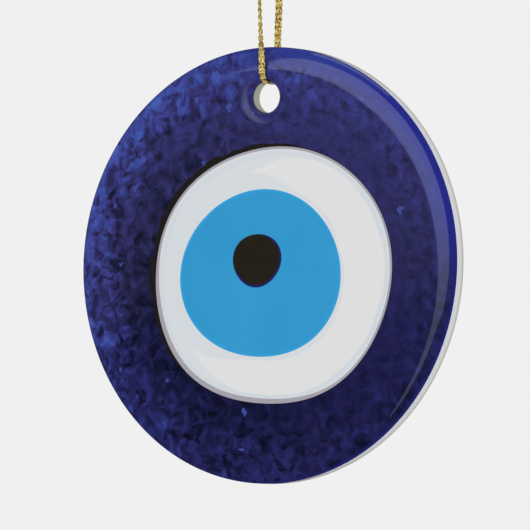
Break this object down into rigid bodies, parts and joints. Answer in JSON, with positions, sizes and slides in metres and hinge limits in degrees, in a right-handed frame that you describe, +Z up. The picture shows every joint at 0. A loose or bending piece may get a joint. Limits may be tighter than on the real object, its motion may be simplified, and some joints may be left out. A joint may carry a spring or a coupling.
{
  "type": "hanging ornament",
  "caption": "Round glazed ceramic disc printed with an evil eye, hung from a hole near its rim by a thin knotted loop of gold cord.",
  "frame": {"origin": "the hanging point, inside the top of the cord loop just under the knot", "axes": "+Z up along the hanging loop; the printed face looks along -Y and the plain back along +Y; +X to the right as the printed face is seen"},
  "size_m": [0.073, 0.0074, 0.1364],
  "materials": {
    "porcelain": "gloss",
    "cobalt_print": "gloss",
    "white_print": "gloss",
    "sky_print": "gloss",
    "dark_print": "gloss",
    "gold_cord": "metallic thread"
  },
  "bodies": {
    "hanger": {"cord_knot": "gold_cord", "cord_front_tail": "gold_cord", "cord_back_tail": "gold_cord"},
    "loop_top": {"cord_front_top": "gold_cord", "cord_back_top": "gold_cord"},
    "loop": {"cord_front_leg": "gold_cord", "cord_through_hole": "gold_cord", "cord_back_leg": "gold_cord"},
    "disc": {"ceramic_disc": "porcelain", "cobalt_field_print": "cobalt_print", "white_ring_print": "white_print", "iris_print": "sky_print", "pupil_print": "dark_print"}
  },
  "joints": [
    {"name": "loop_swing", "type": "hinge", "parent": "hanger", "child": "loop_top", "pos_m": [0, 0, 0.0022], "axis": [1, 0, 0], "range_deg": [-60, 60]},
    {"name": "loop_twist", "type": "hinge", "parent": "loop_top", "child": "loop", "pos_m": [0, 0, -0.016], "axis": [0, 0, 1], "range_deg": [-180, 180]},
    {"name": "disc_swing", "type": "hinge", "parent": "loop", "child": "disc", "pos_m": [0, 0, -0.06], "axis": [0, 1, 0], "range_deg": [-90, 90]}
  ]
}
